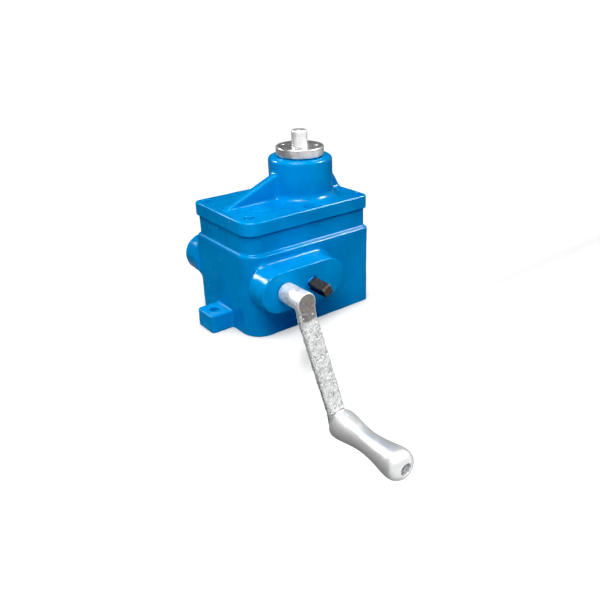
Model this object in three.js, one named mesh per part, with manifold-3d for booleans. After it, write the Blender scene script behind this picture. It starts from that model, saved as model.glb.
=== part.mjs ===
// Hand-cranked worm gear lifting unit: cast housing, two front input shafts with a spur
// reduction between them, worm, bronze worm wheel that is also the nut, and a keyed
// lifting screw that rises through the ribbed boss of the cover.
// Millimetres, +Z up. Origin: middle of the housing's base face.
import * as THREE from "three";
import { mergeVertices } from "three/addons/utils/BufferGeometryUtils.js";
import Module from "manifold-3d";

const wasm = await Module();
wasm.setup();

// ---------------------------------------------------------------- driving dimensions
const BODY_X = 85.5, BODY_Y = 59, BODY_Z = 97.5;       // half width, half depth, shoulder height
const BODY_R = 8, BODY_R_FL = 24;                      // corner radii; the front left one is large
const NECK_X = 82.6, NECK_Y = 54.2, JOINT_Z = 119.6;   // neck above the shoulder, joint face
const WALL = 8, FLOOR = 9;
const COVER_X = 85, COVER_Y = 57.5, COVER_R = 8, COVER_R_FL = 17;
const COVER_Z0 = 120.4, COVER_Z1 = 136;
const RAM_X = 28.5, RAM_Y = 0;                         // axis of the worm wheel and lifting screw
const BOSS_R = 37.5, BOSS_Z = 181.8;
const RIB_W = 11;
const SHAFT_Z = 61.5;                                  // height of both input shafts
const WORM_X = RAM_X - 50;                             // 50 mm worm centre distance
const INPUT_X = WORM_X - 36;                           // 36 mm spur centre distance
const CAP_XA = -64, CAP_XB = 0, CAP_R = 23.6;          // capsule bosses, front and rear
const CAP_Y0 = -84.3, CAP_Y1 = 83;
const SHAFT_R = 8, SQUARE = 12, SQUARE_TURN = 26;      // drive square, degrees
const SQUARE_END = -113;
const WORM_MODULE = 4, WHEEL_TEETH = 16, WORM_R = 18;  // single start, 16 : 1
const SPUR_MODULE = 1.5, PINION_TEETH = 16, GEAR_TEETH = 32; // 2 : 1
const SCREW_PITCH = 10, SCREW_R = 17, SCREW_ROOT = 13.6, SHANK_R = 17.5;
const DISC_R = 28, DISC_Z0 = 182.3, DISC_Z1 = 193.2, PIN_R = 9.3, PIN_Z = 211;
const LUG_X = 113, LUG_Y = 3, LUG_W = 33, LUG_Z = 21.5, LUG_HOLE_R = 5.5, LUG_HOLE_X = 99.5;
const CRANK_TILT = 8.5, CRANK_R = 148, HUB_R = 11.5, HUB_Y0 = -85.7, ARM_Y = -121.5, ARM_T = 8.5, ARM_W = 22;
const EYE_Y = -146.5, GRIP_Y = -147, GRIP_L = 106;

// ---------------------------------------------------------------- helpers
const V2 = (x, y) => new THREE.Vector2(x, y);

function solid(geometry) {
  const g = geometry.clone();
  g.deleteAttribute("normal");
  if (g.getAttribute("uv")) g.deleteAttribute("uv");
  const m = mergeVertices(g, 1e-4);
  const p = m.getAttribute("position").array, idx = m.index.array, tris = [];
  for (let i = 0; i < idx.length; i += 3) {
    const [a, b, c] = [idx[i], idx[i + 1], idx[i + 2]];
    if (a !== b && b !== c && a !== c) tris.push(a, b, c);
  }
  return new wasm.Manifold(new wasm.Mesh({ numProp: 3, vertProperties: Float32Array.from(p), triVerts: Uint32Array.from(tris) }));
}
function toGeometry(man) {
  const mesh = man.getMesh();
  const g = new THREE.BufferGeometry();
  const n = mesh.numProp, v = mesh.vertProperties, pos = new Float32Array((v.length / n) * 3);
  for (let i = 0; i < v.length / n; i++) { pos[3 * i] = v[n * i]; pos[3 * i + 1] = v[n * i + 1]; pos[3 * i + 2] = v[n * i + 2]; }
  g.setAttribute("position", new THREE.BufferAttribute(pos, 3));
  g.setIndex(new THREE.BufferAttribute(Uint32Array.from(mesh.triVerts), 1));
  g.computeVertexNormals();
  return g;
}
const cutAll = (a, ...bs) => bs.reduce((s, b) => s.subtract(b), a);
const addAll = (a, ...bs) => bs.reduce((s, b) => s.add(b), a);

// a solid of revolution about the vertical line through (x, y); profile is [radius, z] pairs
function turned(profile, x, y, n = 32) {
  const g = new THREE.LatheGeometry(profile.map(([r, z]) => V2(r, z)), n);
  g.rotateX(Math.PI / 2);           // lathe axis Y -> Z
  g.translate(x, y, 0);
  let s = solid(g);
  return s.volume() < 0 ? flip(g) : s;
}
function flip(g) {
  const f = g.clone(), i = f.index.array;
  for (let k = 0; k < i.length; k += 3) { const t = i[k]; i[k] = i[k + 1]; i[k + 1] = t; }
  return solid(f);
}
// the same about the horizontal line along Y through (x, z); profile is [radius, y] pairs
function turnedY(profile, x, z, n = 32) {
  const g = new THREE.LatheGeometry(profile.map(([r, y]) => V2(r, y)), n);
  g.translate(x, 0, z);
  let s = solid(g);
  return s.volume() < 0 ? flip(g) : s;
}
const drum = (r, z0, z1, x, y, n) => turned([[0, z0], [r, z0], [r, z1], [0, z1]], x, y, n);
const drumY = (r, y0, y1, x, z, n) => turnedY([[0, y0], [r, y0], [r, y1], [0, y1]], x, z, n);
const ring = (r0, r1, z0, z1, x, y, n) => turned([[r0, z0], [r1, z0], [r1, z1], [r0, z1], [r0, z0]], x, y, n);
const ringY = (r0, r1, y0, y1, x, z, n) => turnedY([[r0, y0], [r1, y0], [r1, y1], [r0, y1], [r0, y0]], x, z, n);
function block(x0, x1, y0, y1, z0, z1) {
  const g = new THREE.BoxGeometry(x1 - x0, y1 - y0, z1 - z0);
  g.translate((x0 + x1) / 2, (y0 + y1) / 2, (z0 + z1) / 2);
  return solid(g);
}
// rounded rectangle in plan; radii in the order front left, front right, back right, back left
function plan(x0, x1, y0, y1, r) {
  const [fl, fr, br, bl] = r, s = new THREE.Shape();
  s.moveTo(x0 + fl, y0);
  s.lineTo(x1 - fr, y0); s.absarc(x1 - fr, y0 + fr, fr, -Math.PI / 2, 0, false);
  s.lineTo(x1, y1 - br); s.absarc(x1 - br, y1 - br, br, 0, Math.PI / 2, false);
  s.lineTo(x0 + bl, y1); s.absarc(x0 + bl, y1 - bl, bl, Math.PI / 2, Math.PI, false);
  s.lineTo(x0, y0 + fl); s.absarc(x0 + fl, y0 + fl, fl, Math.PI, 1.5 * Math.PI, false);
  return s;
}
// upright prism of a plan shape, its top edge rounded by e (and bottom edge by b)
function prism(shape, z0, z1, e = 0, seg = 5, b = 0) {
  const k = Math.max(e, b);
  if (!k) { const g = new THREE.ExtrudeGeometry(shape, { depth: z1 - z0, bevelEnabled: false, curveSegments: seg }); g.translate(0, 0, z0); return solid(g); }
  const g = new THREE.ExtrudeGeometry(shape, { depth: z1 - z0 - (b ? b : 0) - e + (b ? 0 : 0), bevelEnabled: true, bevelThickness: k, bevelSize: k, bevelOffset: -k, bevelSegments: 2, curveSegments: seg });
  g.translate(0, 0, z0 + (b ? b : 0));
  let s = solid(g);
  if (!b) s = s.subtract(block(-400, 400, -400, 400, z0 - 50, z0));
  return s;
}
// prism along Y of a shape drawn in X (right) and Z (up)
function prismY(shape, y0, y1, seg = 8) {
  const g = new THREE.ExtrudeGeometry(shape, { depth: y1 - y0, bevelEnabled: false, curveSegments: seg });
  g.rotateX(Math.PI / 2);           // shape y -> z, depth -> -y
  g.translate(0, y1, 0);
  return solid(g);
}
function capsule(xa, xb, z, r, grow = 0) {
  const s = new THREE.Shape(), R = r + grow;
  s.moveTo(xa, z - R); s.lineTo(xb, z - R); s.absarc(xb, z, R, -Math.PI / 2, Math.PI / 2, false);
  s.lineTo(xa, z + R); s.absarc(xa, z, R, Math.PI / 2, 1.5 * Math.PI, false);
  return s;
}
// threaded rod about Z, right handed, one start: a trapezoid ridge from the root radius r0 (half width w0)
// to the crest radius r1 (half width w1), starting at height z0 and angle `phase`, between flat ends za and zb
function threadedRod(r0, r1, w0, w1, lead, z0, steps, perTurn, za, zb, phase = 0) {
  const pos = [], idx = [], N = perTurn, K = steps;
  const at = (r, t, z) => pos.push(r * Math.cos(t), r * Math.sin(t), z) / 3 - 1;
  const V = [], B = [], T = [];
  for (let k = 0; k <= K; k++) {
    const t = phase + (k / N) * 2 * Math.PI, z = z0 + (k / N) * lead;
    V.push([at(r0, t, z - w0), at(r1, t, z - w1), at(r1, t, z + w1), at(r0, t, z + w0)]);
  }
  for (let j = 0; j < N; j++) { B.push(at(r0, phase + (j / N) * 2 * Math.PI, za)); T.push(at(r0, phase + (j / N) * 2 * Math.PI, zb)); }
  const b0 = at(0, 0, za), t0 = at(0, 0, zb);
  const tri = (...q) => { for (let i = 1; i < q.length - 1; i++) idx.push(q[0], q[i], q[i + 1]); };
  for (let k = 0; k < K; k++) for (let m = 0; m < 3; m++) tri(V[k][m], V[k + 1][m], V[k + 1][m + 1], V[k][m + 1]);
  for (let k = 0; k + N < K; k++) tri(V[k][3], V[k + 1][3], V[k + 1 + N][0], V[k + N][0]);   // root between turns
  for (let k = 0; k < N - 1; k++) tri(B[k], B[k + 1], V[k + 1][0], V[k][0]);                 // foot
  tri(V[N - 1][0], B[N - 1], B[0], V[0][0], V[0][3], V[N][0]);
  const c = (k) => T[((k % N) + N) % N];                                                       // head
  for (let k = K - N + 1; k < K; k++) tri(V[k][3], V[k + 1][3], c(k + 1), c(k));
  tri(V[K - N + 1][3], c(K - N + 1), c(K), V[K][3], V[K][0], V[K - N][3]);
  tri(V[0][0], V[0][1], V[0][2], V[0][3]);
  tri(V[K][3], V[K][2], V[K][1], V[K][0]);
  for (let j = 0; j < N; j++) { idx.push(b0, B[(j + 1) % N], B[j]); idx.push(t0, T[j], T[(j + 1) % N]); }
  const g = new THREE.BufferGeometry();
  g.setAttribute("position", new THREE.BufferAttribute(new Float32Array(pos), 3));
  g.setIndex(idx);
  const s = solid(g);
  return s.volume() < 0 ? flip(g) : s;
}
// spur gear outline with involute flanks, thinned by `thin` on each flank
function gearShape(m, z, thin, addendum, dedendum, rot = 0, fine = true) {
  const rp = (m * z) / 2, rb = rp * Math.cos(THREE.MathUtils.degToRad(20)), ra = rp + addendum, rf = rp - dedendum;
  const inv = (r) => { const c = Math.min(1, rb / r), a = Math.acos(c); return Math.tan(a) - a; };
  const half = (r) => (Math.PI * m / 2 - 2 * thin) / 2 / rp + inv(rp) - inv(Math.max(r, rb));
  const pts = [], radii = fine ? [Math.max(rf, rb), rp, (rp + ra) / 2, ra] : [rp, ra];
  for (let i = 0; i < z; i++) {
    const c = rot + (i / z) * 2 * Math.PI, pitch = (2 * Math.PI) / z;
    const hf = Math.min(half(Math.max(rf, rb)) * 1.08, pitch / 2 * 0.86);
    pts.push([rf, c - hf]);
    for (const r of radii) pts.push([r, c - half(r)]);
    for (const r of [...radii].reverse()) pts.push([r, c + half(r)]);
    pts.push([rf, c + hf]);
  }
  return new THREE.Shape(pts.map(([r, a]) => V2(r * Math.cos(a), r * Math.sin(a))));
}

const parts = [];
const PAINT = { color: 0x0a7fc8, roughness: 0.32, metalness: 0.0 };
const BRIGHT = { color: 0xc9cbcd, roughness: 0.3, metalness: 1.0 };
const STEEL = { color: 0x8d9094, roughness: 0.4, metalness: 1.0 };
const BLACK = { color: 0x3d3632, roughness: 0.45, metalness: 0.8 };
const CAST = { color: 0xb4b6b8, roughness: 0.62, metalness: 0.7 };
const BRONZE = { color: 0xb0803c, roughness: 0.4, metalness: 1.0 };
const GASKET = { color: 0x2a2c2e, roughness: 0.9, metalness: 0.0 };
function part(name, man, look) {
  const mesh = new THREE.Mesh(toGeometry(man), new THREE.MeshStandardMaterial(look));
  mesh.name = name;
  parts.push(mesh);
}

// ---------------------------------------------------------------- housing
const SCREWS = [[-68, -38], [4, -47], [75, -47], [75, 47], [4, 47], [-74, 47]];
{
  const bodyPlan = plan(-BODY_X, BODY_X, -BODY_Y, BODY_Y, [BODY_R_FL, BODY_R, BODY_R, BODY_R]);
  const neckPlan = plan(-NECK_X, NECK_X, -NECK_Y, NECK_Y, [20, 6, 6, 6]);
  let s = prism(bodyPlan, 0, BODY_Z, 5, 6);
  s = s.add(prism(neckPlan, BODY_Z - 8, JOINT_Z, 0, 6));
  const boss = (y0, y1) => prismY(capsule(CAP_XA, CAP_XB, SHAFT_Z, CAP_R), y0, y1, 8);
  s = addAll(s, boss(CAP_Y0, -49.4), boss(49.4, CAP_Y1));
  // base lugs
  for (const k of [-1, 1]) {
    const x0 = Math.min(k * LUG_X, k * (BODY_X - 6)), x1 = Math.max(k * LUG_X, k * (BODY_X - 6));
    const o = [3.2, 3.2, 3.2, 3.2];
    s = s.add(prism(plan(x0, x1, LUG_Y - LUG_W / 2, LUG_Y + LUG_W / 2, o), 0, LUG_Z, 2, 3));
  }
  // cavity
  s = s.subtract(prism(plan(-BODY_X + WALL, BODY_X - WALL, -BODY_Y + WALL, BODY_Y - WALL, [11, 4, 4, 4]), FLOOR, 88, 0, 4));
  s = s.subtract(prism(plan(-NECK_X + WALL, NECK_X - WALL, -NECK_Y + WALL, NECK_Y - WALL, [14, 3, 3, 3]), 80, JOINT_Z + 5, 0, 4));
  // thrust seat on the floor, cover screw bosses
  s = s.add(ring(19.5, 36, FLOOR - 1, 18, RAM_X, RAM_Y, 32));
  for (const [x, y] of SCREWS) {
    const wall = Math.sign(y) * (NECK_Y - 2);
    s = s.add(drum(7, 91, JOINT_Z, x, y, 12)).add(block(x - 6, x + 6, Math.min(y, wall), Math.max(y, wall), 91.4, JOINT_Z));
    s = s.subtract(drum(2.95, 104, JOINT_Z + 1, x, y, 8));
  }
  // shaft bores: front lip, seal pocket and bush seat; rear bush seat open at the back for its cap
  for (const x of [INPUT_X, WORM_X]) {
    s = cutAll(s, drumY(8.6, CAP_Y0 - 1, -80, x, SHAFT_Z, 20), drumY(12.6, -82, -76.5, x, SHAFT_Z, 20), drumY(11.7, -77, -45, x, SHAFT_Z, 20), drumY(14.7, 45, CAP_Y1 + 1, x, SHAFT_Z, 24));
  }
  // lug bolt holes
  for (const k of [-1, 1]) s = s.subtract(drum(LUG_HOLE_R, -1, LUG_Z + 1, k * LUG_HOLE_X, LUG_Y, 16));
  part("housing", s, PAINT);
}

// ---------------------------------------------------------------- gasket
{
  let s = prism(plan(-NECK_X, NECK_X, -NECK_Y, NECK_Y, [20, 6, 6, 6]), JOINT_Z + 0.05, COVER_Z0 - 0.05, 0, 5);
  s = s.subtract(prism(plan(-NECK_X + WALL, NECK_X - WALL, -NECK_Y + WALL, NECK_Y - WALL, [14, 3, 3, 3]), JOINT_Z - 1, COVER_Z0 + 1, 0, 4));
  for (const [x, y] of SCREWS) s = s.add(drum(8.3, JOINT_Z + 0.05, COVER_Z0 - 0.05, x, y, 12).intersect(block(-NECK_X, NECK_X, -NECK_Y, NECK_Y, 100, 130)));
  for (const [x, y] of SCREWS) s = s.subtract(drum(3.3, 100, 130, x, y, 8));
  part("cover_gasket", s, GASKET);
}

// ---------------------------------------------------------------- cover
{
  let s = prism(plan(-COVER_X, COVER_X, -COVER_Y, COVER_Y, [COVER_R_FL, COVER_R, COVER_R, COVER_R]), COVER_Z0, COVER_Z1, 2, 6);
  // tall boss with a swept foot
  s = s.add(turned([[0, 122], [45, 122], [44, COVER_Z1], [41, COVER_Z1 + 1.2], [38.6, COVER_Z1 + 4], [BOSS_R, COVER_Z1 + 9], [BOSS_R, BOSS_Z - 5], [BOSS_R - 1.5, BOSS_Z - 1.6], [BOSS_R - 5, BOSS_Z], [0, BOSS_Z]], RAM_X, RAM_Y, 32));
  // ribs in line with the boss, left long and low, right short and steep
  const rib = new THREE.Shape([V2(-76, 126), V2(-76, 137.2), V2(-73.2, 139), V2(RAM_X - 30, 169.3), V2(RAM_X, 169.3), V2(RAM_X, 126)]);
  const ribR = new THREE.Shape([V2(RAM_X, 126), V2(84, 126), V2(84, 137.5), V2(82, 141.5), V2(RAM_X + 35, 172), V2(RAM_X, 172)]);
  s = s.add(prismY(rib, -RIB_W / 2, RIB_W / 2)).add(prismY(ribR, -RIB_W / 2, RIB_W / 2));
  // sleeve inside that carries the wheel's upper bush
  s = s.add(drum(32, 90, 123, RAM_X, RAM_Y, 24));
  // bores: bush seat of the wheel, clearance, bush seat of the screw, key slot
  s = cutAll(s, drum(27.2, 89, 103.4, RAM_X, RAM_Y, 24), drum(19.5, 100, 150, RAM_X, RAM_Y, 24), drum(22.2, 142, BOSS_Z + 1, RAM_X, RAM_Y, 24), block(RAM_X - 3.1, RAM_X + 3.1, RAM_Y + 15, RAM_Y + 25, 148.5, BOSS_Z + 1));
  // screw seats and the filler hole
  for (const [x, y] of SCREWS) s = cutAll(s, drum(3.4, 110, 140, x, y, 8), drum(5.6, 129.4, 140, x, y, 16));
  s = cutAll(s, drum(10.2, 110, 140, -39.5, -19.2, 20));
  part("cover", s, PAINT);
}
// cover cap screws with hexagon sockets
{
  const names = ["front_left", "front_middle", "front_right", "rear_right", "rear_middle", "rear_left"];
  SCREWS.forEach(([x, y], i) => {
    let s = turned([[0, 107], [2.2, 107], [2.7, 107.6], [2.7, 129.6], [5.1, 129.6], [5.1, 134.6], [4.7, 135.1], [0, 135.1]], x, y, 12);
    s = s.subtract(drum(2.9, 132, 137, x, y, 6));
    part("cover_screw_" + names[i], s, PAINT);
  });
}
// round filler cap pressed into the cover
part("filler_cap", turned([[0, 118], [9.6, 118], [9.9, 118.6], [9.9, 136.2], [13.2, 136.2], [13.2, 136.8], [12.6, 137.3], [0, 137.5]], -39.5, -19.2, 20), PAINT);

// ---------------------------------------------------------------- lifting screw and its guides
{
  let s = turned([[0, 103.5], [15.6, 103.5], [SHANK_R, 106], [SHANK_R, 181.4], [SHANK_R - 0.8, 182.2], [PIN_R, 182.2], [PIN_R, 209.4], [PIN_R - 1.2, PIN_Z], [0, PIN_Z]], RAM_X, RAM_Y, 16);
  const thread = threadedRod(SCREW_ROOT, SCREW_R, 2.7, 1.8, SCREW_PITCH, 16, 134, 16, 12, 104);
  s = s.add(solid(toGeometry(thread).translate(RAM_X, RAM_Y, 0)));
  s = s.subtract(block(RAM_X - 3, RAM_X + 3, RAM_Y + 14.2, RAM_Y + 30, 100, 179));
  part("lifting_screw", s, STEEL);
}
part("ram_bush", ring(17.65, 22, 142.4, 180.4, RAM_X, RAM_Y, 24).subtract(block(RAM_X - 3.1, RAM_X + 3.1, RAM_Y + 15, RAM_Y + 30, 148, 190)), BRONZE);
part("guide_key", block(RAM_X - 2.8, RAM_X + 2.8, RAM_Y + 14.6, RAM_Y + 24.6, 149, 174), STEEL);
{
  let s = turned([[PIN_R + 0.1, DISC_Z0], [DISC_R - 0.6, DISC_Z0], [DISC_R, DISC_Z0 + 0.6], [DISC_R, DISC_Z1 - 0.8], [DISC_R - 0.8, DISC_Z1], [PIN_R + 0.1, DISC_Z1], [PIN_R + 0.1, DISC_Z0]], RAM_X, RAM_Y, 32);
  for (let i = 0; i < 4; i++) { const a = Math.PI / 4 + (i * Math.PI) / 2; s = s.subtract(drum(2.6, DISC_Z1 - 5, DISC_Z1 + 1, RAM_X + 19.5 * Math.cos(a), RAM_Y + 19.5 * Math.sin(a), 8)); }
  part("ram_flange", s, BRIGHT);
}

// ---------------------------------------------------------------- worm wheel with nut bore
{
  const shape = gearShape(WORM_MODULE, WHEEL_TEETH, 0.45, 3.7, 4.6, Math.PI + Math.PI / WHEEL_TEETH);
  const H = 20, g = new THREE.ExtrudeGeometry(shape, { depth: H, steps: 1, bevelEnabled: false });
  g.translate(0, 0, -H / 2);
  const p = g.getAttribute("position"), twist = (WORM_MODULE / (2 * WORM_R)) / (WORM_MODULE * WHEEL_TEETH / 2);
  for (let i = 0; i < p.count; i++) { const z = p.getZ(i), a = twist * z, x = p.getX(i), y = p.getY(i); p.setXY(i, x * Math.cos(a) - y * Math.sin(a), x * Math.sin(a) + y * Math.cos(a)); }
  g.translate(RAM_X, RAM_Y, SHAFT_Z);
  let s = solid(g);
  s = s.add(turned([[0, 34.6], [24, 34.6], [24, 88], [23, 88], [23, 100], [0, 100]], RAM_X, RAM_Y, 24));
  // tap for the nut bore, in step with the screw
  const tap = threadedRod(14.1, 17.6, 3.05, 2.2, SCREW_PITCH, 26, 128, 16, 20, 112);
  s = s.subtract(solid(toGeometry(tap).translate(RAM_X, RAM_Y, 0)));
  part("worm_wheel", s, BRONZE);
}
part("upper_bush", ring(23.25, 27, 90.4, 99.8, RAM_X, RAM_Y, 24), BRONZE);
part("upper_thrust_washer", ring(18.6, 26.6, 100.3, 103, RAM_X, RAM_Y, 24), BRONZE);
part("thrust_race_lower", ring(20, 34, 18.1, 22, RAM_X, RAM_Y, 24), STEEL);
{
  let s = ring(22.6, 31.4, 24.6, 27.6, RAM_X, RAM_Y, 16);
  for (let i = 0; i < 8; i++) {
    const g = new THREE.SphereGeometry(3.95, 6, 6), a = ((i + 0.5) * Math.PI) / 4;
    g.translate(RAM_X + 27 * Math.cos(a), RAM_Y + 27 * Math.sin(a), 26.1);
    s = s.add(solid(g));
  }
  part("thrust_ball_cage", s, BRIGHT);
}
part("thrust_race_upper", ring(20, 34, 30.3, 34.3, RAM_X, RAM_Y, 24), STEEL);

// ---------------------------------------------------------------- shafts, gears and worm
// drive square: blends to the round journal at y = -85.3
function squareEnd(x) {
  const h = SQUARE / 2, c = 1.2;
  const sq = new THREE.Shape([V2(-h + c, -h), V2(h - c, -h), V2(h, -h + c), V2(h, h - c), V2(h - c, h), V2(-h + c, h), V2(-h, h - c), V2(-h, -h + c)]);
  const g = new THREE.ExtrudeGeometry(sq, { depth: -84.1 - SQUARE_END - 0.9, bevelEnabled: true, bevelThickness: 0.9, bevelSize: 0.9, bevelOffset: -0.9, bevelSegments: 1 });
  g.rotateZ(THREE.MathUtils.degToRad(SQUARE_TURN));
  g.rotateX(Math.PI / 2);
  g.translate(x, -84.1, SHAFT_Z);
  return solid(g);
}
{
  let s = turnedY([[0, -85.3], [7.2, -85.3], [SHAFT_R, -84.5], [SHAFT_R, 74], [7, 75], [0, 75]], WORM_X, SHAFT_Z, 24).add(squareEnd(WORM_X));
  part("worm_shaft", s, BLACK);
  const gs = new THREE.ExtrudeGeometry(gearShape(SPUR_MODULE, PINION_TEETH, 0.16, 1.45, 1.8, Math.PI / PINION_TEETH, false), { depth: 12, bevelEnabled: false });
  gs.rotateX(Math.PI / 2); gs.translate(INPUT_X, -36, SHAFT_Z);
  s = turnedY([[0, -85.3], [7.2, -85.3], [SHAFT_R, -84.5], [SHAFT_R, 74], [7, 75], [0, 75]], INPUT_X, SHAFT_Z, 24).add(squareEnd(INPUT_X)).add(solid(gs));
  part("input_pinion_shaft", s, BLACK);
  const gg = new THREE.ExtrudeGeometry(gearShape(SPUR_MODULE, GEAR_TEETH, 0.16, 1.45, 1.8, Math.PI, false), { depth: 11, bevelEnabled: false });
  gg.rotateX(Math.PI / 2); gg.translate(WORM_X, -36.5, SHAFT_Z);
  part("reduction_gear", solid(gg).subtract(drumY(8.15, -60, -20, WORM_X, SHAFT_Z, 20)), STEEL);
}
{
  // worm: right handed, crest in the wheel's tooth space on the +X side at y = 0
  const lead = Math.PI * WORM_MODULE, steps = 61;
  let t = toGeometry(threadedRod(13.2, 21.7, 4.25, 1.15, lead, (-steps / 40) * lead, steps, 20, -24, 24, -(steps / 20) * Math.PI));
  // helix about Z -> about Y, keeping its hand: z -> y, x -> x, y -> -z
  t.rotateX(-Math.PI / 2);
  t.translate(WORM_X, 0, SHAFT_Z);
  let s = solid(t);
  part("worm", s.subtract(drumY(8.15, -40, 40, WORM_X, SHAFT_Z, 20)), STEEL);
}
part("worm_front_spacer", ringY(8.15, 11, -36.2, -24.3, WORM_X, SHAFT_Z, 20), STEEL);
part("worm_rear_spacer", ringY(8.15, 11, 24.3, 50.2, WORM_X, SHAFT_Z, 20), STEEL);
part("input_spacer", ringY(8.15, 11, -35.6, 50.2, INPUT_X, SHAFT_Z, 20), STEEL);
for (const [n, x] of [["input", INPUT_X], ["worm", WORM_X]]) {
  part(n + "_front_bush", ringY(8.15, 11.5, -76.2, -48.4, x, SHAFT_Z, 20), BRONZE);
  part(n + "_rear_bush", ringY(8.15, 14.5, 50.6, 75.4, x, SHAFT_Z, 20), BRONZE);
  part(n + "_oil_seal", ringY(8.15, 12.4, -81.7, -76.6, x, SHAFT_Z, 20), GASKET);
  part(n + "_rear_cap", turnedY([[0, 76.2], [14.5, 76.2], [14.5, 82.2], [13.7, 83], [0, 83]], x, SHAFT_Z, 20), PAINT);
}

// ---------------------------------------------------------------- crank
const tilt = THREE.MathUtils.degToRad(CRANK_TILT);
const dirX = Math.sin(tilt), dirZ = -Math.cos(tilt);
const GRIP_X = INPUT_X + CRANK_R * dirX, GRIP_Z = SHAFT_Z + CRANK_R * dirZ;
{
  // drawn with the arm straight down from the shaft, then turned to its rest angle
  const outline = new THREE.Shape(), w = ARM_W / 2;
  outline.absarc(0, 0, HUB_R, 0, Math.PI, false);
  outline.lineTo(-w, -10); outline.lineTo(-w + 0.5, -CRANK_R + 2);
  outline.absarc(0, -CRANK_R, w - 0.5, Math.PI, 2 * Math.PI, false);
  outline.lineTo(w, -10);
  const g = new THREE.ExtrudeGeometry(outline, { depth: 60, bevelEnabled: false, curveSegments: 10 });
  g.rotateX(Math.PI / 2); g.translate(0, -100, 0);                 // y from -160 to -100
  // side profile of the arm: flat at the hub, leaning outwards, flat at the grip
  const side = new THREE.Shape([
    V2(HUB_R + 1, ARM_Y), V2(-21.5, ARM_Y), V2(-CRANK_R + 17, EYE_Y), V2(-CRANK_R - 14, EYE_Y),
    V2(-CRANK_R - 14, EYE_Y + ARM_T), V2(-CRANK_R + 16, EYE_Y + ARM_T), V2(-21.5, ARM_Y + ARM_T + 0.4), V2(HUB_R + 1, ARM_Y + ARM_T)]);
  const h = new THREE.ExtrudeGeometry(side, { depth: 40, bevelEnabled: false });
  // shape x -> z, shape y -> y, depth -> x
  h.applyMatrix4(new THREE.Matrix4().makeBasis(new THREE.Vector3(0, 0, 1), new THREE.Vector3(0, 1, 0), new THREE.Vector3(-1, 0, 0)));
  h.translate(20, 0, 0);
  let s = solid(g).intersect(solid(h));
  s = s.add(turnedY([[0, HUB_Y0], [HUB_R - 0.8, HUB_Y0], [HUB_R, HUB_Y0 - 0.8], [HUB_R, ARM_Y + 1], [0, ARM_Y + 1]], 0, 0, 24));
  // square socket
  const q = (SQUARE + 0.5) / 2;
  const sock = new THREE.BoxGeometry(2 * q, 28.5 + 5, 2 * q);
  sock.rotateY(-THREE.MathUtils.degToRad(SQUARE_TURN) + tilt);
  sock.translate(0, HUB_Y0 + 5 - (28.5 + 5) / 2, 0);
  s = s.subtract(solid(sock));
  s = s.subtract(drumY(8.6, HUB_Y0 - 0.6, HUB_Y0 + 1, 0, 0, 24));
  s = s.subtract(drumY(5.15, -160, -120, 0, -CRANK_R, 20));
  const c = toGeometry(s).rotateY(-tilt).translate(INPUT_X, 0, SHAFT_Z);
  part("crank", solid(c), CAST);
}
// grip turns on a spindle riveted into the eye
{
  const s = turnedY([[0, EYE_Y + ARM_T + 1.2], [6.6, EYE_Y + ARM_T + 1.2], [7.4, EYE_Y + ARM_T + 0.2], [5, EYE_Y + ARM_T + 0.2], [5, GRIP_Y - 92], [0, GRIP_Y - 92]].reverse(), GRIP_X, GRIP_Z, 20);
  part("grip_spindle", s, STEEL);
  const G = GRIP_Y, prof = [[15.4, 0], [17.2, -1.6], [17.7, -6], [17.3, -12], [16, -20], [14.3, -30], [13.2, -40], [13, -48], [13.4, -57], [14.6, -68], [16.2, -78], [17.6, -86], [18, -92], [17.2, -97.5], [15, -101.8], [11.5, -104.8], [7.6, -106], [7.0, -105.4], [7.0, -95], [5.3, -95], [5.3, 0], [15.4, 0]];
  part("grip", turnedY(prof.map(([r, y]) => [r, G + y]), GRIP_X, GRIP_Z, 20), BRIGHT);
  let e = turnedY([[0, G - 98.6], [3.4, G - 98.6], [5.8, G - 97.6], [5.8, G - 95.4], [4.9, G - 95.4], [4.9, G - 92.1], [0, G - 92.1]], GRIP_X, GRIP_Z, 20);
  e = e.subtract(block(GRIP_X - 6, GRIP_X + 6, G - 100, G - 97.4, GRIP_Z - 0.7, GRIP_Z + 0.7));
  part("grip_end_screw", e, BRIGHT);
}

const unit = new THREE.Group();
unit.name = "worm_gear_set";
for (const m of parts) unit.add(m);
export default unit;
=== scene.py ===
# Looks for the hand-cranked worm gear lifting box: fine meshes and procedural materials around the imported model.
import math
import bpy
import bmesh
import numpy as np
from mathutils import Matrix, Vector


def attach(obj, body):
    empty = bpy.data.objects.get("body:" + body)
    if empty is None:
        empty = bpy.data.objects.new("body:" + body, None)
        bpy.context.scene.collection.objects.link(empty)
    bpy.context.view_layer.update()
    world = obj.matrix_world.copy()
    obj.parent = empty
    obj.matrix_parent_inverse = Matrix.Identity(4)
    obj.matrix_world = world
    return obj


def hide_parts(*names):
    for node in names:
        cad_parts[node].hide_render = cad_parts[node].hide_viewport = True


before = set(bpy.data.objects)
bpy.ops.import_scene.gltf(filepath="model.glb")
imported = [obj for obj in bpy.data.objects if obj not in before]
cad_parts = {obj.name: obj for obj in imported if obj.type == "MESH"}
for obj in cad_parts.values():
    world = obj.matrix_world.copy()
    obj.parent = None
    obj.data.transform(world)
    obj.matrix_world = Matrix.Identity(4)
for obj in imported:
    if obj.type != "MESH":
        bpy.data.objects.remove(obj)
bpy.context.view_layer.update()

# ------------------------------------------------------------------ dimensions, millimetres, as in the model
BODY_X, BODY_Y, BODY_Z, BODY_R, BODY_R_FL = 85.5, 59.0, 97.5, 8.0, 24.0
NECK_X, NECK_Y, JOINT_Z = 82.6, 54.2, 119.6
WALL, FLOOR = 8.0, 9.0
COVER_X, COVER_Y, COVER_R, COVER_R_FL, COVER_Z0, COVER_Z1 = 85.0, 57.5, 8.0, 17.0, 120.4, 136.0
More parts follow.
